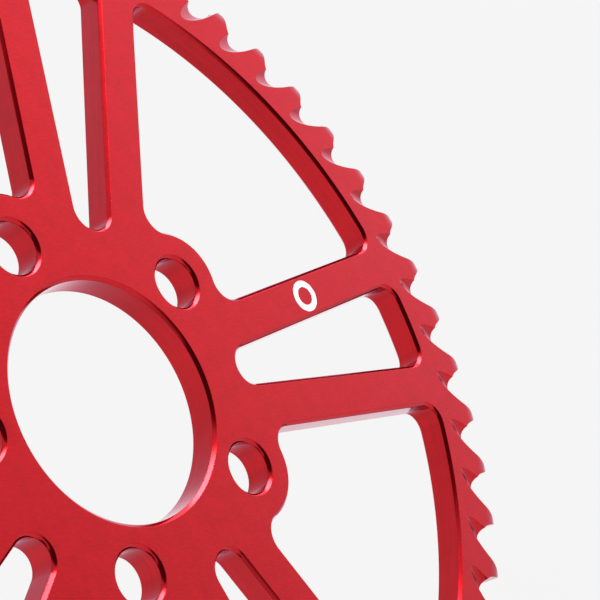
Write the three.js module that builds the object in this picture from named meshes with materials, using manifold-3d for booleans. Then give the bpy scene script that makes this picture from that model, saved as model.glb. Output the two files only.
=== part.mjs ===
// A rear sprocket: one plate with a toothed rim, ten straight spokes and a hub with five bolt holes.
// Millimetres. The wheel spins about +Y, its front face looks along -Y, and one bolt hole is at +Z.
import * as THREE from "three";
import { mergeVertices } from "three/addons/utils/BufferGeometryUtils.js";
import Module from "manifold-3d";

// Chain and teeth. The tooth form follows the usual standard for a 12.7 mm chain with 8.51 mm rollers.
const CHAIN_PITCH = 12.7;
const ROLLER_DIAMETER = 8.51;
const TOOTH_COUNT = 54;
const TOOTH_HEIGHT = 2.4; // from the pitch circle to the tips
const TOOTH_SIDE_RADIUS = 7; // the rounding that thins each tooth towards its tip
const TOOTH_SIDE_RELIEF = 1.55; // how far that rounding has cut into each side at the tip
const SEAT_SHARE = 0.505; // seat radius as a share of the roller's diameter
const FLANK_SHARE = 0.12; // flank radius as a share of roller diameter times (teeth + 2)

// Plate and hub.
const PLATE_THICKNESS = 7.1;
const BORE_DIAMETER = 48.4;
const HUB_WALL = 11.3; // from the bore to the inner end of a narrow window
const BOLT_COUNT = 5;
const BOLT_HOLE_DIAMETER = 10.7;
const BOLT_INNER_WALL = 4.45; // metal between the bore and each bolt hole
const BOSS_WALL = 5.75; // metal around the outer side of each bolt hole
const FIRST_BOLT_DEG = 90; // seen from the front, anticlockwise from +X
const FIRST_GULLET_DEG = 92.33;

// Rim, spokes and windows.
const RIM_WALL = 8.05; // from the windows' outer edge to the bottom of the gullets
const SPOKE_WIDTH = 9.7;
const NARROW_HALF_ANGLE_DEG = 6; // a narrow window's sides are radial
const WINDOW_CORNER_RADIUS = 4.1;
const BOSS_FILLET_RADIUS = 4.3;
const EDGE_CHAMFER = 0.7; // on both ends of every opening

// Mud grooves: one slanting scoop in the front face at each gullet.
const GROOVE_RADIUS = 2.6;
const GROOVE_REACH = 4.55; // from the gullet's bottom in to the groove's tip
const GROOVE_OFFSET = 3.9; // the tip lies this far to one side of the gullet's middle
const GROOVE_SLANT_DEG = 34.5; // from the radial direction, seen on the face
const GROOVE_SLOPE_DEG = 16.2; // how steeply the groove dives into the face
const GROOVE_LENGTH = 22; // long enough to leave through the gullet
const GROOVE_SIDES = 8;

const CHORD_ERROR = 0.06; // how far a straight facet may leave its arc
const CUT_OVERRUN = 1; // how far cutters pass the faces

const RADIANS = Math.PI / 180;
const halfThickness = PLATE_THICKNESS / 2;
const pitchRadius = CHAIN_PITCH / (2 * Math.sin(Math.PI / TOOTH_COUNT));
const rootRadius = pitchRadius - ROLLER_DIAMETER / 2;
const tipRadius = pitchRadius + TOOTH_HEIGHT;
const rimRadius = rootRadius - RIM_WALL;
const boltCircleRadius = (BORE_DIAMETER + BOLT_HOLE_DIAMETER) / 2 + BOLT_INNER_WALL;
const bossRadius = BOLT_HOLE_DIAMETER / 2 + BOSS_WALL;
const boltSpacing = (2 * Math.PI) / BOLT_COUNT;
const narrowHalfAngle = NARROW_HALF_ANGLE_DEG * RADIANS;

const wasm = await Module();
wasm.setup();

// Boolean helpers: three.js geometry to a solid and back.
function solidOf(geometry) {
  const bare = geometry.clone();
  bare.deleteAttribute("normal");
  bare.deleteAttribute("uv");
  const merged = mergeVertices(bare, 1e-4);
  return new wasm.Manifold(
    new wasm.Mesh({
      numProp: 3,
      vertProperties: new Float32Array(merged.attributes.position.array),
      triVerts: new Uint32Array(merged.index.array),
    }),
  );
}

function geometryOf(solid) {
  const mesh = solid.getMesh();
  const geometry = new THREE.BufferGeometry();
  geometry.setAttribute("position", new THREE.BufferAttribute(mesh.vertProperties, 3));
  geometry.setIndex(new THREE.BufferAttribute(mesh.triVerts, 1));
  geometry.computeVertexNormals();
  return geometry;
}

const polar = (radius, angle) =>
  new THREE.Vector2(radius * Math.cos(angle), radius * Math.sin(angle));
const mirrored = (points) => points.map((p) => new THREE.Vector2(p.x, -p.y)).reverse();

// Points along an arc, both ends included, close enough together for the chord error.
function arc(centre, radius, from, to) {
  const step = 2 * Math.acos(1 - CHORD_ERROR / radius);
  const count = Math.max(1, Math.ceil(Math.abs(to - from) / step));
  const points = [];
  for (let i = 0; i <= count; i++) {
    points.push(polar(radius, from + ((to - from) * i) / count).add(centre));
  }
  return points;
}

function circle(centre, radius) {
  return arc(centre, radius, 0, 2 * Math.PI).slice(0, -1);
}

// One gullet and half a tooth on each side, centred on angle 0: roller seat, flank and tip.
function gulletPoints() {
  const seatRadius = SEAT_SHARE * ROLLER_DIAMETER;
  const seatHalfAngle = (70 - 45 / TOOTH_COUNT) * RADIANS;
  const seatCentre = new THREE.Vector2(rootRadius + seatRadius, 0);
  const seat = arc(seatCentre, seatRadius, Math.PI, Math.PI - seatHalfAngle);
  const seatEnd = seat[seat.length - 1];
  const flankRadius = FLANK_SHARE * ROLLER_DIAMETER * (TOOTH_COUNT + 2);
  const outward = seatEnd.clone().sub(seatCentre).normalize();
  const flankCentre = seatEnd.clone().addScaledVector(outward, flankRadius);
  const startAngle = Math.atan2(-outward.y, -outward.x);
  const flank = [];
  const flankSteps = 2;
  for (let i = 1; i <= flankSteps; i++) {
    const radius = seatEnd.length() + ((tipRadius - seatEnd.length()) * i) / flankSteps;
    flank.push(pointAtRadius(flankCentre, flankRadius, startAngle, radius));
  }
  const upper = [...seat, ...flank];
  return [...mirrored(upper).slice(0, -1), ...upper];
}

// The point of a flank arc that lies at a given distance from the axle, found by halving.
function pointAtRadius(centre, flankRadius, startAngle, radius) {
  const quarterTurn = Math.PI / 2;
  let near = 0;
  let far = quarterTurn;
  for (let i = 0; i < 40; i++) {
    const middle = (near + far) / 2;
    const point = polar(flankRadius, startAngle + middle).add(centre);
    if (point.length() < radius) near = middle;
    else far = middle;
  }
  return polar(flankRadius, startAngle + near).add(centre);
}

function toothedOutline() {
  const points = [];
  const gullet = gulletPoints();
  const origin = new THREE.Vector2();
  for (let i = 0; i < TOOTH_COUNT; i++) {
    const turn = FIRST_GULLET_DEG * RADIANS + (i * 2 * Math.PI) / TOOTH_COUNT;
    for (const point of gullet) points.push(point.clone().rotateAround(origin, turn));
  }
  return points;
}

// A narrow window on angle 0: radial sides, a round inner end and round outer corners.
function narrowWindow() {
  const side = Math.sin(narrowHalfAngle);
  const innerEnd = BORE_DIAMETER / 2 + HUB_WALL;
  const endCentre = innerEnd / (1 - side);
  const endRadius = endCentre * side;
  const cornerRadius = WINDOW_CORNER_RADIUS;
  const cornerAngle = narrowHalfAngle - Math.asin(cornerRadius / (rimRadius - cornerRadius));
  const cornerCentre = polar(rimRadius - cornerRadius, cornerAngle);
  const normal = narrowHalfAngle + Math.PI / 2;
  const upper = [
    ...arc(new THREE.Vector2(endCentre, 0), endRadius, Math.PI, normal),
    ...arc(cornerCentre, cornerRadius, normal, cornerAngle),
    ...arc(new THREE.Vector2(), rimRadius, cornerAngle, 0).slice(1),
  ];
  return [...upper, ...mirrored(upper).slice(1, -1)];
}

// A wide window on angle 0: it runs round a bolt boss and between two spokes with parallel sides.
function wideWindow() {
  const slope = boltSpacing / 2 - narrowHalfAngle;
  const along = polar(1, slope);
  const inward = new THREE.Vector2(Math.sin(slope), -Math.cos(slope));
  const boss = new THREE.Vector2(boltCircleRadius, 0);
  const onSide = (distance, travel) =>
    along.clone().multiplyScalar(travel).addScaledVector(inward, distance);

  const filletGap = SPOKE_WIDTH + BOSS_FILLET_RADIUS;
  const half = along.dot(boss);
  const rest =
    filletGap ** 2 -
    2 * filletGap * inward.dot(boss) +
    boss.lengthSq() -
    (bossRadius + BOSS_FILLET_RADIUS) ** 2;
  const filletCentre = onSide(filletGap, half + Math.sqrt(half ** 2 - rest));

  const cornerRadius = WINDOW_CORNER_RADIUS;
  const cornerGap = SPOKE_WIDTH + cornerRadius;
  const cornerCentre = onSide(
    cornerGap,
    Math.sqrt((rimRadius - cornerRadius) ** 2 - cornerGap ** 2),
  );

  const bossTurn = filletCentre.clone().sub(boss).angle();
  const outwardSide = slope + Math.PI / 2;
  const upper = [
    ...arc(boss, bossRadius, 0, bossTurn),
    ...arc(filletCentre, BOSS_FILLET_RADIUS, bossTurn + Math.PI, outwardSide).slice(1),
    ...arc(cornerCentre, cornerRadius, outwardSide, cornerCentre.angle()),
    ...arc(new THREE.Vector2(), rimRadius, cornerCentre.angle(), 0).slice(1),
  ];
  return [...upper, ...mirrored(upper).slice(1, -1)];
}

// A cutter for one opening: straight through the plate and flared by the chamfer at both faces.
function openingCutter(points) {
  const shape = new THREE.Shape(points);
  const through = new THREE.ExtrudeGeometry(shape, {
    depth: PLATE_THICKNESS + 2 * CUT_OVERRUN,
    bevelEnabled: false,
  });
  through.translate(0, 0, -halfThickness - CUT_OVERRUN);
  let cutter = solidOf(through);
  for (const face of [-1, 1]) {
    const flare = new THREE.ExtrudeGeometry(shape, {
      depth: CUT_OVERRUN,
      bevelEnabled: true,
      bevelSegments: 1,
      bevelSize: EDGE_CHAMFER,
      bevelThickness: EDGE_CHAMFER,
    });
    flare.translate(0, 0, face > 0 ? halfThickness : -halfThickness - CUT_OVERRUN);
    cutter = cutter.add(solidOf(flare));
  }
  return cutter;
}

// The air that rounds one side of all the teeth towards their tips: a ring with one facet per tooth,
// each facet square to its tooth, so the ring is drawn a little wide at its corners in the gullets.
function sideReliefCutter(face) {
  const steps = 2;
  const widening = 1 / Math.cos(Math.PI / TOOTH_COUNT);
  const turn = Math.acos(1 - TOOTH_SIDE_RELIEF / TOOTH_SIDE_RADIUS);
  const start = tipRadius - TOOTH_SIDE_RADIUS * Math.sin(turn);
  const outside = tipRadius + CUT_OVERRUN;
  const top = halfThickness + CUT_OVERRUN;
  const profile = [new THREE.Vector2(start * widening, top)];
  for (let i = 0; i <= steps; i++) {
    const angle = (turn * i) / steps;
    const radius = start + TOOTH_SIDE_RADIUS * Math.sin(angle);
    const height = halfThickness - TOOTH_SIDE_RADIUS * (1 - Math.cos(angle));
    profile.push(new THREE.Vector2(radius * widening, height));
  }
  const lowest = profile[profile.length - 1].y;
  profile.push(new THREE.Vector2(outside * widening, lowest - CUT_OVERRUN * Math.tan(turn)));
  profile.push(new THREE.Vector2(outside * widening, top));
  profile.push(profile[0].clone());
  const ring = new THREE.LatheGeometry(profile, TOOTH_COUNT);
  const quarterTurn = (face * Math.PI) / 2;
  ring.rotateX(quarterTurn);
  ring.rotateZ(FIRST_GULLET_DEG * RADIANS + quarterTurn);
  return solidOf(ring);
}

// One mud groove: a leaning cylinder whose lowest line starts on the front face and dives outwards.
function grooveCutter() {
  const cylinder = new THREE.CylinderGeometry(
    GROOVE_RADIUS,
    GROOVE_RADIUS,
    GROOVE_LENGTH,
    GROOVE_SIDES,
  );
  cylinder.rotateZ(-Math.PI / 2);
  cylinder.translate(GROOVE_LENGTH / 2 - 2 * GROOVE_RADIUS, 0, GROOVE_RADIUS);
  cylinder.rotateY(GROOVE_SLOPE_DEG * RADIANS);
  cylinder.rotateZ(-GROOVE_SLANT_DEG * RADIANS);
  cylinder.translate(rootRadius - GROOVE_REACH, GROOVE_OFFSET, halfThickness);
  return cylinder;
}

function sprocket() {
  const blank = new THREE.ExtrudeGeometry(new THREE.Shape(toothedOutline()), {
    depth: PLATE_THICKNESS,
    bevelEnabled: false,
  });
  blank.translate(0, 0, -halfThickness);
  let plate = solidOf(blank);
  for (const face of [-1, 1]) plate = plate.subtract(sideReliefCutter(face));

  for (let i = 0; i < TOOTH_COUNT; i++) {
    const groove = grooveCutter();
    groove.rotateZ(FIRST_GULLET_DEG * RADIANS + (i * 2 * Math.PI) / TOOTH_COUNT);
    plate = plate.subtract(solidOf(groove));
  }

  const origin = new THREE.Vector2();
  const turned = (points, turn) => points.map((p) => p.clone().rotateAround(origin, turn));
  const hole = circle(new THREE.Vector2(boltCircleRadius, 0), BOLT_HOLE_DIAMETER / 2);
  plate = plate.subtract(openingCutter(circle(origin, BORE_DIAMETER / 2)));
  for (let i = 0; i < BOLT_COUNT; i++) {
    const turn = FIRST_BOLT_DEG * RADIANS + i * boltSpacing;
    plate = plate.subtract(openingCutter(turned(hole, turn)));
    plate = plate.subtract(openingCutter(turned(wideWindow(), turn)));
    plate = plate.subtract(openingCutter(turned(narrowWindow(), turn + boltSpacing / 2)));
  }
  return geometryOf(plate);
}

const redAnodised = new THREE.MeshStandardMaterial({
  color: 0xb8222c,
  roughness: 0.35,
  metalness: 0.9,
});

const rearSprocket = new THREE.Group();
const plate = new THREE.Mesh(sprocket(), redAnodised);
plate.name = "sprocket";
plate.rotation.x = Math.PI / 2; // lays the wheel's own axis along Y, front face towards -Y
rearSprocket.add(plate);

export default rearSprocket;
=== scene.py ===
"""Rear sprocket: a red anodised chain wheel with windows, mud grooves and a plain white ring mark.

The wheel spins about Y, its front face looks along -Y and one bolt hole is at +Z. Lengths are in
metres.
"""

import logging
import math
from dataclasses import dataclass, field
from enum import Enum, IntEnum
from typing import Optional, Union

import bmesh
import bpy
from mathutils import Matrix, Vector

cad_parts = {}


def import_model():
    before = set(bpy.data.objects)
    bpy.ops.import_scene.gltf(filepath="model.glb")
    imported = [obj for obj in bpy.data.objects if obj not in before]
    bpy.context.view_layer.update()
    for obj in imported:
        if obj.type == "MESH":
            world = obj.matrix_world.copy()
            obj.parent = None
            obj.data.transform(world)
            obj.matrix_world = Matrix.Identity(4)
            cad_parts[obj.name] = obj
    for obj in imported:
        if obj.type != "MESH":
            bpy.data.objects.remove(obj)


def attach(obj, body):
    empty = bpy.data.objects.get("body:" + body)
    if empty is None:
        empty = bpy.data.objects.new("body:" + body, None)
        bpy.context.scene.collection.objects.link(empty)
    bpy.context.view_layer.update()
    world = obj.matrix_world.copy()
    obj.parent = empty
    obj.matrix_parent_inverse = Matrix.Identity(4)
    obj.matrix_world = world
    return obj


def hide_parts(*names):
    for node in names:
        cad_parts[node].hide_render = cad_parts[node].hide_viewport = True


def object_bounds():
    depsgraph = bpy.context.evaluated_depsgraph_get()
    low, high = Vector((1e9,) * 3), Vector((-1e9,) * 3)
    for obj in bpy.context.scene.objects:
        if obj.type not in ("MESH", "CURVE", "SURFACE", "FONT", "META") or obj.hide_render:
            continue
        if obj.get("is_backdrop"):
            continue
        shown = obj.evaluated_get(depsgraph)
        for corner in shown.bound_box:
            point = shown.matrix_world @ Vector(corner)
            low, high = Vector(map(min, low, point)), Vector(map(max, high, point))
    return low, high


MM = 0.001
TURN = 2 * math.pi
PLATE_NODE = "sprocket"
ROOT_BODY = "root"

Number = Union[int, float]
Colour = tuple[float, float, float]
Outline = list[Vector]
Loop = list[bmesh.types.BMVert]
Edges = list[bmesh.types.BMEdge]

log = logging.getLogger("rear_sprocket")


class Surface(IntEnum):
    """The machined surfaces of the plate, in the order of its material slots."""

    FACE = 0
    CHAMFER = 1
    WALL = 2
    TOOTH = 3
    GROOVE = 4


class Grain(Enum):
    """How the fine tool marks of a finish run."""

    STRAIGHT = "along one direction of the faces"
    RINGS = "in circles about the wheel's axis"
    EDGE = "along the walls, level with the faces"


class Side(Enum):
    """The two faces of the plate: the sign of the Y that each one looks along."""

    FRONT = -1
    BACK = 1


# Outlines. Each is a closed loop of points in the plate's plane, with x as +X and y as +Z.


def polar(radius: float, angle: float) -> Vector:
    """A point in the plate's plane at a radius and an angle."""
    return Vector((radius * math.cos(angle), radius * math.sin(angle)))


def angle_of(point: Vector) -> float:
    """The angle of a point in the plate's plane."""
    return math.atan2(point.y, point.x)


def turned(points: Outline, angle: float) -> Outline:
    """The points, turned about the wheel's axis."""
    cosine, sine = math.cos(angle), math.sin(angle)
    return [Vector((p.x * cosine - p.y * sine, p.x * sine + p.y * cosine)) for p in points]


def mirrored(points: Outline) -> Outline:
    """The points, reflected in the x axis and reversed."""
    return [Vector((p.x, -p.y)) for p in reversed(points)]


def arc(centre: Vector, radius: float, start: float, end: float, error: float = 0.005 * MM) -> Outline:
    """Points along an arc, both ends included.

    Args:
        centre: The arc's centre.
        radius: Its radius.
        start: The angle of its first point.
        end: The angle of its last point.
        error: How far a chord may leave the arc.

    Returns:
        The points, in order.
    """
    step = 2 * math.acos(1 - error / radius)
    count = max(1, math.ceil(abs(end - start) / step))
    return [centre + polar(radius, start + (end - start) * i / count) for i in range(count + 1)]


def outward_normals(points: Outline) -> Outline:
    """The outward unit normal at each point of an anticlockwise loop.

    Args:
        points: The loop.

    Returns:
        One normal for each point, halfway between those of its two edges.
    """
    normals = []
    for i, point in enumerate(points):
        before = (point - points[i - 1]).normalized()
        after = (points[(i + 1) % len(points)] - point).normalized()
        tangent = (before + after).normalized()
        normals.append(Vector((tangent.y, -tangent.x)))
    return normals


@dataclass
class Plate:
    """The stock that the wheel is cut from, and how its edges are broken."""

    thickness: float = 7.1 * MM
    chamfer: float = 0.7 * MM
    edge_round: float = 0.07 * MM

    @property
    def half(self) -> float:
        """Half the thickness."""
        return self.thickness / 2

    def edge_profile(self) -> list[tuple[float, float, Surface]]:
        """An opening's wall from the front face to the back face.

        Returns:
            For each step, how far the wall stands back from the opening, its Y, and the surface
            that starts there.
        """
        diagonal = self.edge_round * math.sqrt(0.5)
        front = [
            (self.chamfer + self.edge_round, -self.half, Surface.FACE),
            (self.chamfer - diagonal, -self.half + diagonal, Surface.CHAMFER),
            (diagonal, -self.half + self.chamfer - diagonal, Surface.CHAMFER),
            (0.0, -self.half + self.chamfer + self.edge_round, Surface.WALL),
        ]
        back = [(stand, -y, Surface.CHAMFER) for stand, y, _ in reversed(front)]
        return front + back


@dataclass
class ChainTeeth:
    """The toothed rim: its tooth form, the rounded tooth sides and the mud grooves."""

    plate: Plate
    chain_pitch: float = 12.7 * MM
    roller_diameter: float = 8.51 * MM
    count: int = 54
    tooth_height: float = 2.4 * MM
    side_radius: float = 7 * MM
    side_relief: float = 1.55 * MM
    seat_share: float = 0.505
    seat_widest: float = math.radians(70)
    seat_narrowing: float = math.radians(45)
    flank_share: float = 0.12
    first_gullet: float = math.radians(92.33)
    seat_error: float = 0.002 * MM
    relief_rows: int = 8
    tip_columns: int = 8
    groove_radius: float = 2.6 * MM
    groove_reach: float = 4.55 * MM
    groove_offset: float = 3.9 * MM
    groove_slant: float = math.radians(34.5)
    groove_slope: float = math.radians(16.2)
    groove_length: float = 22 * MM
    groove_sides: int = 40

    @property
    def pitch_radius(self) -> float:
        """Radius of the circle through the chain's rollers."""
        return self.chain_pitch / (2 * math.sin(math.pi / self.count))

    @property
    def root_radius(self) -> float:
        """Radius at the bottom of the gullets."""
        return self.pitch_radius - self.roller_diameter / 2

    @property
    def tip_radius(self) -> float:
        """Radius over the tooth tips."""
        return self.pitch_radius + self.tooth_height

    @property
    def seat_radius(self) -> float:
        """Radius of the arc that a roller sits in."""
        return self.seat_share * self.roller_diameter

    @property
    def seat_centre(self) -> Vector:
        """Centre of the seat arc of a gullet on angle 0."""
        return Vector((self.root_radius + self.seat_radius, 0))

    @property
    def relief_turn(self) -> float:
        """The angle that the rounded tooth side has turned through at the tip."""
        return math.acos(1 - self.side_relief / self.side_radius)

    @property
    def relief_start(self) -> float:
        """Radius where the tooth sides start to round off."""
        return self.tip_radius - self.side_radius * math.sin(self.relief_turn)

    def relief_at(self, radius: float) -> float:
        """How far the rounded side has dropped below the face at a radius.

        Args:
            radius: Distance from the wheel's axis.

        Returns:
            The drop, which is 0 inside the start of the rounding.
        """
        reach = max(0.0, radius - self.relief_start)
        return self.side_radius - math.sqrt(self.side_radius**2 - reach**2)

    def flank_angle(self, radius: float) -> float:
        """Half the angle that a tooth takes up at a radius above its gullets.

        Args:
            radius: Distance from the wheel's axis.

        Returns:
            The angle from the tooth's middle to its flank.
        """
        return math.pi / self.count - self.gullet_half_angle(radius)

    def gullet_half_angle(self, radius: float) -> float:
        """Half the angle that a gullet is open at a radius, on its seat arc or its flank arc.

        Args:
            radius: Distance from the wheel's axis.

        Returns:
            The angle from the gullet's middle to its flank.
        """
        seat_half = self.seat_widest - self.seat_narrowing / self.count
        seat_end = self.seat_centre + polar(self.seat_radius, math.pi - seat_half)
        if radius <= seat_end.length:
            return self.crossing(self.seat_centre, self.seat_radius, radius, inner=True)
        outward = (seat_end - self.seat_centre).normalized()
        flank_radius = self.flank_share * self.roller_diameter * (self.count + 2)
        return self.crossing(seat_end + outward * flank_radius, flank_radius, radius, inner=False)

    @staticmethod
    def crossing(centre: Vector, circle: float, radius: float, inner: bool) -> float:
        """The angle at which a circle crosses a radius.

        Args:
            centre: The circle's centre.
            circle: The circle's radius.
            radius: Distance from the wheel's axis.
            inner: Whether the crossing lies anticlockwise of the centre or clockwise of it.

        Returns:
            The crossing's angle about the wheel's axis.
        """
        reach = centre.length
        cosine = (reach**2 + radius**2 - circle**2) / (2 * reach * radius)
        spread = math.acos(max(-1.0, min(1.0, cosine)))
        return angle_of(centre) + (spread if inner else -spread)

    def row_radii(self) -> list[float]:
        """Radii of the rows across a tooth, from the start of its rounding to its tip."""
        rise = self.tip_radius - self.relief_start
        return [self.relief_start + rise * i / self.relief_rows for i in range(self.relief_rows + 1)]

    def tooth_row(self, radius: float, middle: float) -> Outline:
        """One row of points across a tooth.

        Args:
            radius: Distance from the wheel's axis.
            middle: The angle of the tooth's middle.

        Returns:
            The points, clockwise side first.
        """
        half = self.flank_angle(radius)
        steps = range(self.tip_columns + 1)
        return [polar(radius, middle - half + 2 * half * i / self.tip_columns) for i in steps]

    def gullet_floor(self, middle: float) -> Outline:
        """The part of a gullet that lies below the rounding.

        Args:
            middle: The angle of the gullet's middle.

        Returns:
            The points of its seat arc, without the two that the teeth share.
        """
        edge = polar(self.relief_start, self.gullet_half_angle(self.relief_start)) - self.seat_centre
        start = angle_of(Vector((edge.x, -edge.y))) + TURN
        floor = arc(self.seat_centre, self.seat_radius, start, angle_of(edge), self.seat_error)
        return turned(floor[1:-1], middle)

    def build(self, bm: bmesh.types.BMesh) -> dict[Side, Edges]:
        """Adds the rim's outer wall and the rounded tooth sides.

        Args:
            bm: The plate's mesh.

        Returns:
            The edges on each face that the flat face has to be filled up to.
        """
        walls: dict[Side, Loop] = {side: [] for side in Side}
        borders: dict[Side, Loop] = {side: [] for side in Side}
        step = TURN / self.count
        for index in range(self.count):
            gullet = self.first_gullet + index * step
            for side in Side:
                floor = [self.vertex(bm, p, side) for p in self.gullet_floor(gullet)]
                rows = [
                    [self.vertex(bm, p, side) for p in self.tooth_row(radius, gullet + step / 2)]
                    for radius in self.row_radii()
                ]
                self.skin_tooth(bm, rows, side)
                rising = [row[0] for row in rows[:-1]]
                falling = [row[-1] for row in reversed(rows[:-1])]
                walls[side] += floor + rising + rows[-1] + falling
                borders[side] += floor + rows[0]
        front, back = walls[Side.FRONT], walls[Side.BACK]
        for i, vertex in enumerate(front):
            after = (i + 1) % len(front)
            face = bm.faces.new((vertex, front[after], back[after], back[i]))
            face.material_index = Surface.WALL
        return {side: loop_edges(bm, loop) for side, loop in borders.items()}

    def vertex(self, bm: bmesh.types.BMesh, point: Vector, side: Side) -> bmesh.types.BMVert:
        """Adds a vertex on one side of the rim, dropped by the rounding at its radius.

        Args:
            bm: The plate's mesh.
            point: The vertex's place in the plate's plane.
            side: The side that the vertex lies on.

        Returns:
            The new vertex.
        """
        height = self.plate.half - self.relief_at(point.length)
        return bm.verts.new((point.x, side.value * height, point.y))

    @staticmethod
    def skin_tooth(bm: bmesh.types.BMesh, rows: list[Loop], side: Side) -> None:
        """Joins the rows of one tooth side with faces.

        Args:
            bm: The plate's mesh.
            rows: Rows of vertices, from the gullets out to the tip.
            side: The face that they lie on.
        """
        for lower, upper in zip(rows, rows[1:]):
            for i in range(len(lower) - 1):
                ring = [lower[i], lower[i + 1], upper[i + 1], upper[i]]
                face = bm.faces.new(ring if side is Side.FRONT else ring[::-1])
                face.material_index = Surface.TOOTH

    def groove_cutter(self) -> bpy.types.Object:
        """Builds the tool that the mud grooves are cut with.

        Returns:
            One object that holds a leaning cylinder for each groove on the front face.
        """
        bm = bmesh.new()
        lean = Matrix.Rotation(self.groove_slope, 4, "Y")
        slant = Matrix.Rotation(-self.groove_slant, 4, "Z")
        behind = 2 * self.groove_radius
        shift = Matrix.Translation((self.groove_length / 2 - behind, 0, self.groove_radius))
        start = self.root_radius - self.groove_reach
        place = Matrix.Translation((start, self.groove_offset, self.plate.half))
        lie = Matrix.Rotation(math.pi / 2, 4, "Y")
        upright = Matrix.Rotation(math.pi / 2, 4, "X")
        for index in range(self.count):
            around = Matrix.Rotation(self.first_gullet + index * TURN / self.count, 4, "Z")
            bmesh.ops.create_cone(
                bm,
                cap_ends=True,
                segments=self.groove_sides,
                radius1=self.groove_radius,
                radius2=self.groove_radius,
                depth=self.groove_length,
                matrix=upright @ around @ place @ slant @ lean @ shift @ lie,
            )
        for face in bm.faces:
            face.material_index = Surface.GROOVE
        return object_from(bm, "mud_groove_cutter")


@dataclass
class SpokedWeb:
    """The windows between the rim, the ten spokes, the bolt bosses and the hub, and the round holes."""

    plate: Plate
    teeth: ChainTeeth
    bore_diameter: float = 48.4 * MM
    hub_wall: float = 11.3 * MM
    bolt_count: int = 5
    bolt_circle: float = 68 * MM
    bolt_hole: float = 10.7 * MM
    boss_wall: float = 5.75 * MM
    first_bolt: float = math.radians(90)
    rim_wall: float = 8.05 * MM
    spoke_width: float = 9.7 * MM
    narrow_half_angle: float = math.radians(6)
    corner_radius: float = 4.1 * MM
    boss_fillet: float = 4.3 * MM

    @property
    def rim_radius(self) -> float:
        """Radius of the windows' outer edge."""
        return self.teeth.root_radius - self.rim_wall

    @property
    def spacing(self) -> float:
        """The angle from one bolt hole to the next."""
        return TURN / self.bolt_count

    def narrow_window(self) -> Outline:
        """A narrow window on angle 0: radial sides, a round inner end and round outer corners.

        Returns:
            Its outline, a closed loop.
        """
        side = math.sin(self.narrow_half_angle)
        inner_end = self.bore_diameter / 2 + self.hub_wall
        end_centre = inner_end / (1 - side)
        corner_reach = self.rim_radius - self.corner_radius
        corner_angle = self.narrow_half_angle - math.asin(self.corner_radius / corner_reach)
        normal = self.narrow_half_angle + math.pi / 2
        upper = [
            *arc(Vector((end_centre, 0)), end_centre * side, math.pi, normal),
            *arc(polar(corner_reach, corner_angle), self.corner_radius, normal, corner_angle),
            *arc(Vector((0, 0)), self.rim_radius, corner_angle, 0)[1:],
        ]
        return [*mirrored(upper)[:-1], *upper[:-1]]

    def wide_window(self) -> Outline:
        """A wide window on angle 0: it runs round a bolt boss and between two spokes.

        Returns:
            Its outline, a closed loop.
        """
        slope = self.spacing / 2 - self.narrow_half_angle
        along = polar(1, slope)
        inward = Vector((math.sin(slope), -math.cos(slope)))
        boss = Vector((self.bolt_circle / 2, 0))
        boss_radius = self.bolt_hole / 2 + self.boss_wall

        fillet_gap = self.spoke_width + self.boss_fillet
        half = along.dot(boss)
        rest = (
            fillet_gap**2
            - 2 * fillet_gap * inward.dot(boss)
            + boss.length_squared
            - (boss_radius + self.boss_fillet) ** 2
        )
        fillet_centre = along * (half + math.sqrt(half**2 - rest)) + inward * fillet_gap

        corner_gap = self.spoke_width + self.corner_radius
        corner_reach = self.rim_radius - self.corner_radius
        corner_centre = along * math.sqrt(corner_reach**2 - corner_gap**2) + inward * corner_gap

        boss_turn = angle_of(fillet_centre - boss)
        outward_side = slope + math.pi / 2
        corner_angle = angle_of(corner_centre)
        upper = [
            *arc(boss, boss_radius, 0, boss_turn),
            *arc(fillet_centre, self.boss_fillet, boss_turn + math.pi, outward_side)[1:],
            *arc(corner_centre, self.corner_radius, outward_side, corner_angle),
            *arc(Vector((0, 0)), self.rim_radius, corner_angle, 0)[1:],
        ]
        return [*mirrored(upper)[:-1], *upper[:-1]]

    def openings(self) -> list[Outline]:
        """The bore, the bolt holes and all the windows.

        Returns:
            The outline of each, an anticlockwise loop.
        """
        hole = arc(Vector((self.bolt_circle / 2, 0)), self.bolt_hole / 2, 0, TURN)[:-1]
        found = [arc(Vector((0, 0)), self.bore_diameter / 2, 0, TURN)[:-1]]
        for index in range(self.bolt_count):
            turn = self.first_bolt + index * self.spacing
            found.append(turned(hole, turn))
            found.append(turned(self.wide_window(), turn))
            found.append(turned(self.narrow_window(), turn + self.spacing / 2))
        return [points if signed_area(points) > 0 else points[::-1] for points in found]

    def build(self, bm: bmesh.types.BMesh) -> dict[Side, Edges]:
        """Adds the chamfered wall of every opening.

        Args:
            bm: The plate's mesh.

        Returns:
            The edges on each face that the flat face has to be filled up to.
        """
        borders: dict[Side, Edges] = {side: [] for side in Side}
        profile = self.plate.edge_profile()
        for outline in self.openings():
            normals = outward_normals(outline)
            loops = []
            for stand, y, _ in profile:
                places = [point + normal * stand for point, normal in zip(outline, normals)]
                loops.append([bm.verts.new((p.x, y, p.y)) for p in places])
            for (first, second), (_, _, surface) in zip(zip(loops, loops[1:]), profile):
                self.skin_band(bm, first, second, surface)
            borders[Side.FRONT] += loop_edges(bm, loops[0])
            borders[Side.BACK] += loop_edges(bm, loops[-1])
        return borders

    @staticmethod
    def skin_band(bm: bmesh.types.BMesh, first: Loop, second: Loop, surface: Surface) -> None:
        """Joins two loops of one wall with faces.

        Args:
            bm: The plate's mesh.
            first: The loop nearer the front face.
            second: The loop nearer the back face.
            surface: The surface that the faces belong to.
        """
        for i, vertex in enumerate(first):
            after = (i + 1) % len(first)
            face = bm.faces.new((vertex, second[i], second[after], first[after]))
            face.material_index = surface


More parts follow.
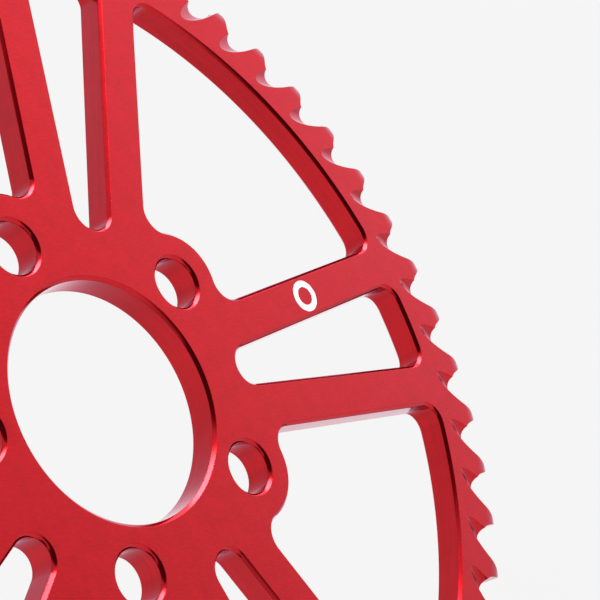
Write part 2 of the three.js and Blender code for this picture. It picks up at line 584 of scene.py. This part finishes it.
def signed_area(points: Outline) -> float:
    """Twice a loop's area, positive if it runs anticlockwise."""
    return sum(points[i - 1].x * p.y - points[i - 1].y * p.x for i, p in enumerate(points))


def loop_edges(bm: bmesh.types.BMesh, loop: Loop) -> Edges:
    """The edges of a closed loop of vertices, made where they don't exist yet.

    Args:
        bm: The plate's mesh.
        loop: The vertices, in order.

    Returns:
        The edges, in the same order.
    """
    edges = []
    for i, vertex in enumerate(loop):
        pair = (loop[i - 1], vertex)
        edges.append(bm.edges.get(pair) or bm.edges.new(pair))
    return edges


def object_from(bm: bmesh.types.BMesh, name: str) -> bpy.types.Object:
    """Turns a finished bmesh into an object in the scene.

    Args:
        bm: The mesh, freed afterwards.
        name: The name of the object and its mesh.

    Returns:
        The new object.
    """
    mesh = bpy.data.meshes.new(name)
    bm.to_mesh(mesh)
    bm.free()
    made = bpy.data.objects.new(name, mesh)
    bpy.context.scene.collection.objects.link(made)
    return made


# Shader graphs.

NOISE_MIDDLE = 0.5


class MixSocket(IntEnum):
    """Where a Mix node keeps its colour sockets, among those of its other kinds of data."""

    RESULT = 2
    LOW = 6
    HIGH = 7


class Level:
    """A number inside a node graph. Arithmetic on it adds Math nodes."""

    def __init__(self, graph: "Graph", socket: bpy.types.NodeSocket) -> None:
        """Wraps an output socket of a graph."""
        self.graph = graph
        self.socket = socket

    def combined(self, operation: str, first: "Level | Number", second: "Level | Number") -> "Level":
        """Adds one Math node.

        Args:
            operation: The Math node's operation.
            first: Its first input.
            second: Its second input.

        Returns:
            The node's result.
        """
        inputs = {0: first, 1: second}
        return self.graph.level("ShaderNodeMath", {"operation": operation}, inputs, "Value")

    def __add__(self, other: "Level | Number") -> "Level":
        """The sum."""
        return self.combined("ADD", self, other)

    __radd__ = __add__

    def __mul__(self, other: "Level | Number") -> "Level":
        """The product."""
        return self.combined("MULTIPLY", self, other)

    __rmul__ = __mul__

    def __sub__(self, other: "Level | Number") -> "Level":
        """The difference."""
        return self.combined("SUBTRACT", self, other)

    def __rsub__(self, other: "Level | Number") -> "Level":
        """The difference the other way round."""
        return self.combined("SUBTRACT", other, self)

    def __pow__(self, other: Number) -> "Level":
        """The power."""
        return self.combined("POWER", self, other)

    def between(self, low: float, high: float) -> "Level":
        """A smooth mask of where the number lies.

        Args:
            low: Up to this number the mask is 0.
            high: From this number on it is 1.

        Returns:
            The mask.
        """
        settings = {"interpolation_type": "SMOOTHSTEP"}
        inputs = {"Value": self, "From Min": low, "From Max": high}
        return self.graph.level("ShaderNodeMapRange", settings, inputs, "Result")


Input = Union["Level", bpy.types.NodeSocket, Number, tuple, Vector]


@dataclass
class Graph:
    """A material's or the world's node tree."""

    tree: bpy.types.NodeTree

    def node(
        self, kind: str, settings: Optional[dict] = None, inputs: Optional[dict] = None
    ) -> bpy.types.Node:
        """Adds one node.

        Args:
            kind: The node's type name.
            settings: Its properties, set before its inputs.
            inputs: A value or a link for each input, by name or index.

        Returns:
            The new node.
        """
        made = self.tree.nodes.new(kind)
        for name, value in (settings or {}).items():
            setattr(made, name, value)
        for key, value in (inputs or {}).items():
            self.feed(made.inputs[key], value)
        return made

    def feed(self, socket: bpy.types.NodeSocket, value: Input) -> None:
        """Gives an input socket a link or a constant.

        Args:
            socket: The input socket.
            value: What it gets. A tuple of three numbers is a colour if the socket takes one.
        """
        if isinstance(value, Level):
            value = value.socket
        if isinstance(value, bpy.types.NodeSocket):
            self.tree.links.new(value, socket)
        elif isinstance(value, tuple) and socket.type == "RGBA":
            socket.default_value = (*value, 1.0)
        else:
            socket.default_value = value

    def level(self, kind: str, settings: dict, inputs: dict, output: str) -> Level:
        """Adds a node that works out a number.

        Args:
            kind: The node's type name.
            settings: Its properties.
            inputs: A value or a link for each input, by name or index.
            output: The name of the output that holds the number.

        Returns:
            The number.
        """
        return Level(self, self.node(kind, settings, inputs).outputs[output])

    def blend(self, mask: Level, low: Colour, high: Colour) -> bpy.types.NodeSocket:
        """Mixes two colours with a mask.

        Args:
            mask: The share of the second colour.
            low: The colour where the mask is 0.
            high: The colour where it is 1.

        Returns:
            The mixed colour.
        """
        inputs = {"Factor": mask, MixSocket.LOW: low, MixSocket.HIGH: high}
        return self.node("ShaderNodeMix", {"data_type": "RGBA"}, inputs).outputs[MixSocket.RESULT]


def material_graph(name: str) -> tuple[bpy.types.Material, Graph, bpy.types.Node]:
    """Makes an empty material with a Principled shader.

    Args:
        name: The material's name.

    Returns:
        The material, its graph and its Principled node.
    """
    material = bpy.data.materials.new(name)
    material.use_nodes = True
    graph = Graph(material.node_tree)
    return material, graph, material.node_tree.nodes["Principled BSDF"]


@dataclass(frozen=True)
class RedAnodising:
    """Dyed anodising on machined aluminium: a clear hard layer over tinted metal with tool marks."""

    name: str
    tint: Colour
    deep_tint: Colour
    roughness: float
    roughness_swing: float
    coat_roughness: float
    grain_pitch: float
    grain_length: float
    grain_depth: float
    grain: Grain
    grain_angle: float = 0.0
    coat_ior: float = 1.32
    coat_weight: float = 1.0
    edge_tint: Colour = (0.78, 0.58, 0.82)
    grain_detail: float = 3.0
    grain_share: float = 0.6
    mottle_size: float = 4 * MM
    mottle_detail: float = 4.0
    tint_range: tuple[float, float] = (0.3, 0.7)
    ring_radius: float = 108 * MM

    def place(self, graph: Graph) -> tuple[bpy.types.NodeSocket, bpy.types.NodeSocket]:
        """Where a point is on the plate.

        Args:
            graph: The material's graph.

        Returns:
            The point itself, and the point stretched so that noise on it runs along the grain.
        """
        point = graph.node("ShaderNodeTexCoord").outputs["Object"]
        across, along = 1 / self.grain_pitch, 1 / self.grain_length
        if self.grain is Grain.RINGS:
            parts = graph.node("ShaderNodeSeparateXYZ", {}, {0: point})
            x, y, z = (Level(graph, parts.outputs[i]) for i in range(3))
            radius = (x * x + z * z) ** 0.5
            angle = graph.level("ShaderNodeMath", {"operation": "ARCTAN2"}, {0: z, 1: x}, "Value")
            inputs = {0: radius * across, 1: y * across, 2: angle * (along * self.ring_radius)}
            return point, graph.node("ShaderNodeCombineXYZ", {}, inputs).outputs[0]
        scales = (along, across, across) if self.grain is Grain.STRAIGHT else (along, across, along)
        turn = {"Vector": point, "Rotation": (0.0, -self.grain_angle, 0.0)}
        laid = graph.node("ShaderNodeMapping", {"vector_type": "TEXTURE"}, turn).outputs[0]
        stretched = graph.node("ShaderNodeVectorMath", {"operation": "MULTIPLY"}, {0: laid, 1: scales})
        return point, stretched.outputs[0]

    def make(self) -> bpy.types.Material:
        """Builds the material.

        Returns:
            The material, with a tint, a roughness and a bump that follow the tool marks.
        """
        material, graph, shader = material_graph(self.name)
        point, stretched = self.place(graph)
        noise = "ShaderNodeTexNoise"
        fine = {"Vector": stretched, "Scale": 1.0, "Detail": self.grain_detail}
        grain = graph.level(noise, {}, fine, "Fac")
        coarse = {"Vector": point, "Scale": 1 / self.mottle_size, "Detail": self.mottle_detail}
        mottle = graph.level(noise, {}, coarse, "Fac")
        mask = (mottle * (1 - self.grain_share) + grain * self.grain_share).between(*self.tint_range)
        graph.feed(shader.inputs["Base Color"], graph.blend(mask, self.deep_tint, self.tint))
        swing = self.roughness_swing
        uneven = (grain - NOISE_MIDDLE) * (2 * swing) + (mottle - NOISE_MIDDLE) * swing
        graph.feed(shader.inputs["Roughness"], uneven + self.roughness)
        graph.feed(shader.inputs["Metallic"], 1.0)
        graph.feed(shader.inputs["Specular Tint"], self.edge_tint)
        graph.feed(shader.inputs["Coat Weight"], self.coat_weight)
        graph.feed(shader.inputs["Coat IOR"], self.coat_ior)
        graph.feed(shader.inputs["Coat Roughness"], self.coat_roughness)
        bump = {"Height": grain, "Distance": self.grain_depth, "Strength": 1.0}
        graph.feed(shader.inputs["Normal"], graph.node("ShaderNodeBump", {}, bump).outputs[0])
        return material


TINT = (0.69, 0.002, 0.011)
DEEP_TINT = (0.57, 0.001, 0.008)
TOOTH_TINT = (0.60, 0.004, 0.014)

FINISHES = {
    Surface.FACE: RedAnodising(
        "anodised_face",
        TINT,
        DEEP_TINT,
        roughness=0.34,
        roughness_swing=0.06,
        coat_roughness=0.2,
        grain_pitch=0.45 * MM,
        grain_length=1.3 * MM,
        grain_depth=0.003 * MM,
        grain=Grain.STRAIGHT,
        grain_angle=math.radians(-26),
    ),
    Surface.CHAMFER: RedAnodising(
        "anodised_chamfer",
        TINT,
        DEEP_TINT,
        roughness=0.17,
        roughness_swing=0.01,
        coat_roughness=0.08,
        grain_pitch=0.5 * MM,
        grain_length=6 * MM,
        grain_depth=0.0002 * MM,
        grain=Grain.EDGE,
    ),
    Surface.WALL: RedAnodising(
        "anodised_wall",
        TINT,
        DEEP_TINT,
        roughness=0.26,
        roughness_swing=0.05,
        coat_roughness=0.12,
        grain_pitch=0.9 * MM,
        grain_length=14 * MM,
        grain_depth=0.004 * MM,
        grain=Grain.EDGE,
    ),
    Surface.TOOTH: RedAnodising(
        "anodised_tooth_side",
        TOOTH_TINT,
        DEEP_TINT,
        roughness=0.27,
        roughness_swing=0.04,
        coat_roughness=0.12,
        grain_pitch=0.3 * MM,
        grain_length=3 * MM,
        grain_depth=0.002 * MM,
        grain=Grain.RINGS,
    ),
    Surface.GROOVE: RedAnodising(
        "anodised_groove",
        TINT,
        DEEP_TINT,
        roughness=0.24,
        roughness_swing=0.04,
        coat_roughness=0.10,
        grain_pitch=0.3 * MM,
        grain_length=2 * MM,
        grain_depth=0.001 * MM,
        grain=Grain.STRAIGHT,
    ),
}


@dataclass(frozen=True)
class WhiteInk:
    """Printed white ink: matt, thin and a little uneven."""

    name: str = "white_ink"
    colour: Colour = (0.80, 0.83, 0.87)
    worn_colour: Colour = (0.70, 0.73, 0.78)
    worn_range: tuple[float, float] = (0.3, 0.6)
    speckles_per_metre: float = 1400.0
    speckle_detail: float = 3.0
    roughness: float = 0.5
    roughness_swing: float = 0.2

    def make(self) -> bpy.types.Material:
        """Builds the material.

        Returns:
            The material, speckled in its colour and its roughness.
        """
        material, graph, shader = material_graph(self.name)
        point = graph.node("ShaderNodeTexCoord").outputs["Object"]
        grain = {"Vector": point, "Scale": self.speckles_per_metre, "Detail": self.speckle_detail}
        speckle = graph.level("ShaderNodeTexNoise", {}, grain, "Fac")
        colour = graph.blend(speckle.between(*self.worn_range), self.worn_colour, self.colour)
        graph.feed(shader.inputs["Base Color"], colour)
        graph.feed(shader.inputs["Roughness"], speckle * self.roughness_swing + self.roughness)
        return material


@dataclass
class SprocketPlate:
    """The whole wheel: one machined plate made of the toothed rim and the spoked web."""

    plate: Plate = field(default_factory=Plate)
    teeth: ChainTeeth = field(init=False)
    web: SpokedWeb = field(init=False)
    smooth_limit: float = math.radians(32)
    area_weight: int = 100

    def __post_init__(self) -> None:
        """Lays out the rim and the web on the same stock."""
        self.teeth = ChainTeeth(self.plate)
        self.web = SpokedWeb(self.plate, self.teeth)

    def build(self) -> bpy.types.Object:
        """Builds the plate's mesh, dresses it, cuts the mud grooves and smooths it.

        Returns:
            The finished piece, with its materials.
        """
        bm = bmesh.new()
        rim, web = self.teeth.build(bm), self.web.build(bm)
        for side in Side:
            edges = rim[side] + web[side]
            normal = Vector((0, side.value, 0))
            filled = bmesh.ops.triangle_fill(bm, use_beauty=True, edges=edges, normal=normal)
            for item in filled["geom"]:
                if isinstance(item, bmesh.types.BMFace):
                    item.material_index = Surface.FACE
        bmesh.ops.recalc_face_normals(bm, faces=bm.faces)
        piece = object_from(bm, "sprocket_plate")
        self.dress(piece)
        self.cut_grooves(piece)
        self.smooth(piece)
        return piece

    def dress(self, piece: bpy.types.Object) -> None:
        """Gives the plate one finish for each machined surface."""
        for surface in Surface:
            piece.data.materials.append(FINISHES[surface].make())

    def cut_grooves(self, piece: bpy.types.Object) -> None:
        """Cuts the mud grooves out of the plate.

        Args:
            piece: The plate, dressed already, so that the cuts keep their own finish.
        """
        cutter = self.teeth.groove_cutter()
        for material in piece.data.materials:
            cutter.data.materials.append(material)
        cut = piece.modifiers.new("mud_grooves", "BOOLEAN")
        cut.operation = "DIFFERENCE"
        cut.solver = "EXACT"
        cut.object = cutter
        self.apply_modifiers(piece)
        bpy.data.objects.remove(cutter)

    def smooth(self, piece: bpy.types.Object) -> None:
        """Shades the curved surfaces smooth and keeps the flat ones flat.

        Args:
            piece: The plate.
        """
        piece.data.polygons.foreach_set("use_smooth", [True] * len(piece.data.polygons))
        piece.data.set_sharp_from_angle(angle=self.smooth_limit)
        self.sharpen_scoops(piece)
        weigh = piece.modifiers.new("flat_faces", "WEIGHTED_NORMAL")
        weigh.mode = "FACE_AREA"
        weigh.weight = self.area_weight
        weigh.keep_sharp = True
        self.apply_modifiers(piece)

    @staticmethod
    def sharpen_scoops(piece: bpy.types.Object) -> None:
        """Keeps the flat faces flat right up to the mud grooves.

        Args:
            piece: The plate, whose edges between a face and a groove become sharp.
        """
        bm = bmesh.new()
        bm.from_mesh(piece.data)
        for edge in bm.edges:
            if {face.material_index for face in edge.link_faces} == {Surface.FACE, Surface.GROOVE}:
                edge.smooth = False
        bm.to_mesh(piece.data)
        bm.free()

    @staticmethod
    def apply_modifiers(piece: bpy.types.Object) -> None:
        """Replaces a mesh with what its modifiers make of it.

        Args:
            piece: The object, which loses its modifiers.
        """
        depsgraph = bpy.context.evaluated_depsgraph_get()
        made = bpy.data.meshes.new_from_object(piece.evaluated_get(depsgraph), depsgraph=depsgraph)
        made.name = piece.name
        piece.modifiers.clear()
        piece.data = made


@dataclass
class RingMark:
    """A plain white ring, printed on one spoke of the front face."""

    plate: Plate
    distance: float = 65.4 * MM
    angle: float = math.radians(-7.8)
    outer_radius: float = 3.6 * MM
    inner_radius: float = 2.1 * MM
    ink: float = 0.03 * MM
    finish: WhiteInk = WhiteInk()

    def build(self) -> bpy.types.Object:
        """Builds the ring as a thin closed layer that lies on the face.

        Returns:
            The ring, with its ink.
        """
        bm = bmesh.new()
        centre = polar(self.distance, self.angle)
        low, high = -self.plate.half, -self.plate.half - self.ink
        inner, outer = self.inner_radius, self.outer_radius
        corners = [(inner, low), (inner, high), (outer, high), (outer, low)]
        loops = []
        for radius, y in corners:
            loops.append([bm.verts.new((p.x, y, p.y)) for p in self.circle(centre, radius)])
        for i, first in enumerate(loops):
            second = loops[(i + 1) % len(loops)]
            for k, vertex in enumerate(first):
                after = (k + 1) % len(first)
                bm.faces.new((vertex, first[after], second[after], second[k]))
        bmesh.ops.recalc_face_normals(bm, faces=bm.faces)
        made = object_from(bm, "ring_mark")
        made.data.materials.append(self.finish.make())
        return made

    @staticmethod
    def circle(centre: Vector, radius: float, count: int = 96) -> Outline:
        """A circle with a fixed number of points."""
        return [centre + polar(radius, TURN * i / count) for i in range(count)]


# Studio.


@dataclass(frozen=True)
class Glow:
    """One soft-edged patch of the studio's surroundings, bright like a softbox or dark like a flag.

    Its angles are in degrees: where its middle lies, and how far from there it is at full strength
    and where it ends.
    """

    name: str
    azimuth: float
    elevation: float
    inner: float
    outer: float
    strength: float

    @property
    def aim(self) -> Vector:
        """Where its middle lies, seen from the wheel.

        Returns:
            The direction, with the azimuth taken from +X towards +Y.
        """
        azimuth, elevation = math.radians(self.azimuth), math.radians(self.elevation)
        flat = math.cos(elevation)
        return Vector((flat * math.cos(azimuth), flat * math.sin(azimuth), math.sin(elevation)))

    @property
    def edge(self) -> tuple[float, float]:
        """The cosines of the angles from its middle to where it ends and to its full strength."""
        return math.cos(math.radians(self.outer)), math.cos(math.radians(self.inner))


SURROUNDINGS = (
    Glow("key_spill", -20, 10, 14, 44, 1.1),
    Glow("white_sweep", 36, -6, 20, 46, 1.0),
    Glow("left_fill", 152, 3, 15, 45, 0.8),
    Glow("floor_bounce", -90, -75, 28, 45, 0.84),
    Glow("key_skirt", -32, 42, 8, 32, 2.2),
    Glow("key_softbox", -48, 54, 8, 27, 13.0),
    Glow("camera_gap_high", -128, 21, 23, 36, 0.07),
    Glow("camera_gap_low", -106, -12, 20, 33, 0.05),
    Glow("left_flag_high", -176, 20, 18, 34, 0.1),
    Glow("left_flag_low", -176, -30, 18, 34, 0.1),
)


@dataclass
class Studio:
    """The pale floor and the surroundings that the metal reflects."""

    floor_z: float
    glows: tuple[Glow, ...] = SURROUNDINGS
    room_light: float = 0.68
    backdrop: float = 0.913
    floor_size: float = 8.0
    floor_segments: int = 8
    floor_albedo: float = 0.12

    def light_from(self, direction: Vector) -> float:
        """How bright the surroundings are in a direction.

        Args:
            direction: A unit vector, seen from the wheel.

        Returns:
            The strength of the room's light and its patches there.
        """
        light = self.room_light
        for glow in self.glows:
            low, high = glow.edge
            share = min(1.0, max(0.0, (direction.dot(glow.aim) - low) / (high - low)))
            mask = share * share * (3 - 2 * share)
            light += (glow.strength - light) * mask
        return light

    def light_on_floor(self, rings: int = 24, spokes: int = 48) -> float:
        """The average light that falls on the floor, weighted as a matt surface gathers it.

        Args:
            rings: Steps in elevation.
            spokes: Steps in azimuth.

        Returns:
            The brightness that a white matt floor would show.
        """
        total = 0.0
        for i in range(rings):
            rise = math.sqrt((i + 0.5) / rings)
            flat = math.sqrt(1 - rise * rise)
            for k in range(spokes):
                azimuth = TURN * k / spokes
                direction = Vector((flat * math.cos(azimuth), flat * math.sin(azimuth), rise))
                total += self.light_from(direction)
        return total / (rings * spokes)

    def build_floor(self) -> None:
        """Builds the floor: an even pale sweep with a faint shadow, which the metal doesn't mirror."""
        bm = bmesh.new()
        segments = self.floor_segments
        bmesh.ops.create_grid(bm, x_segments=segments, y_segments=segments, size=self.floor_size)
        bmesh.ops.translate(bm, verts=bm.verts, vec=(0, 0, self.floor_z))
        floor = object_from(bm, "studio_floor")
        material, graph, shader = material_graph("pale_floor")
        graph.feed(shader.inputs["Base Color"], (self.floor_albedo,) * 3)
        graph.feed(shader.inputs["Roughness"], 1.0)
        graph.feed(shader.inputs["Specular IOR Level"], 0.0)
        graph.feed(shader.inputs["Emission Color"], (1.0, 1.0, 1.0))
        own_light = self.backdrop - self.floor_albedo * self.light_on_floor()
        graph.feed(shader.inputs["Emission Strength"], own_light)
        floor.data.materials.append(material)
        floor.visible_glossy = False
        floor.visible_shadow = False
        floor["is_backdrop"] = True

    def build_surroundings(self) -> None:
        """Builds the world: an even pale room with soft bright and dark patches."""
        world = bpy.data.worlds.new("studio_room")
        world.use_nodes = True
        bpy.context.scene.world = world
        graph = Graph(world.node_tree)
        direction = graph.node("ShaderNodeTexCoord").outputs["Generated"]
        light: Union[Level, float] = self.room_light
        for glow in self.glows:
            settings = {"operation": "DOT_PRODUCT"}
            facing = graph.level("ShaderNodeVectorMath", settings, {0: direction, 1: glow.aim}, "Value")
            mask = facing.between(*glow.edge)
            light = mask * glow.strength + (1 - mask) * light
        seen = graph.level("ShaderNodeLightPath", {}, {}, "Is Camera Ray")
        room = seen * self.backdrop + (1 - seen) * light
        background = world.node_tree.nodes["Background"]
        graph.feed(background.inputs["Color"], (1.0, 1.0, 1.0))
        graph.feed(background.inputs["Strength"], room)


@dataclass(frozen=True)
class CloseUp:
    """The camera: where it stands, which way it looks and how far it is rolled."""

    location: tuple[float, float, float]
    heading: float
    pitch: float
    roll: float
    lens: float = 98.8
    sensor: float = 36.0
    nearest: float = 0.01
    farthest: float = 100.0

    def build(self) -> None:
        """Builds the camera and makes it the scene's own."""
        data = bpy.data.cameras.new("close_up")
        data.lens = self.lens
        data.sensor_width = self.sensor
        data.clip_start = self.nearest
        data.clip_end = self.farthest
        camera = bpy.data.objects.new("close_up", data)
        bpy.context.scene.collection.objects.link(camera)
        turn = Matrix.Rotation(self.heading - math.pi / 2, 4, "Z")
        level = turn @ Matrix.Rotation(math.pi / 2 + self.pitch, 4, "X")
        roll = Matrix.Rotation(self.roll, 4, "Z")
        camera.matrix_world = Matrix.Translation(self.location) @ level @ roll
        bpy.context.scene.camera = camera


def main() -> None:
    """Builds the wheel, its mark and the studio."""
    logging.basicConfig(level=logging.INFO, format="%(name)s: %(message)s")
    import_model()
    cad_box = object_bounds()

    wheel = SprocketPlate()
    plate = wheel.build()
    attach(plate, ROOT_BODY)
    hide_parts(PLATE_NODE)
    log.info("sprocket plate: %d faces", len(plate.data.polygons))

    mark = RingMark(wheel.plate).build()
    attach(mark, ROOT_BODY)
    log.info("ring mark: %d faces", len(mark.data.polygons))

    studio = Studio(floor_z=cad_box[0].z)
    studio.build_floor()
    studio.build_surroundings()
    camera = CloseUp(
        location=(-217.12 * MM, -223.07 * MM, 31.30 * MM),
        heading=math.radians(38.13),
        pitch=math.radians(-6.44),
        roll=math.radians(-33.2),
    )
    camera.build()
    bpy.context.scene.view_settings.view_transform = "Standard"


if __name__ == "__main__":
    main()
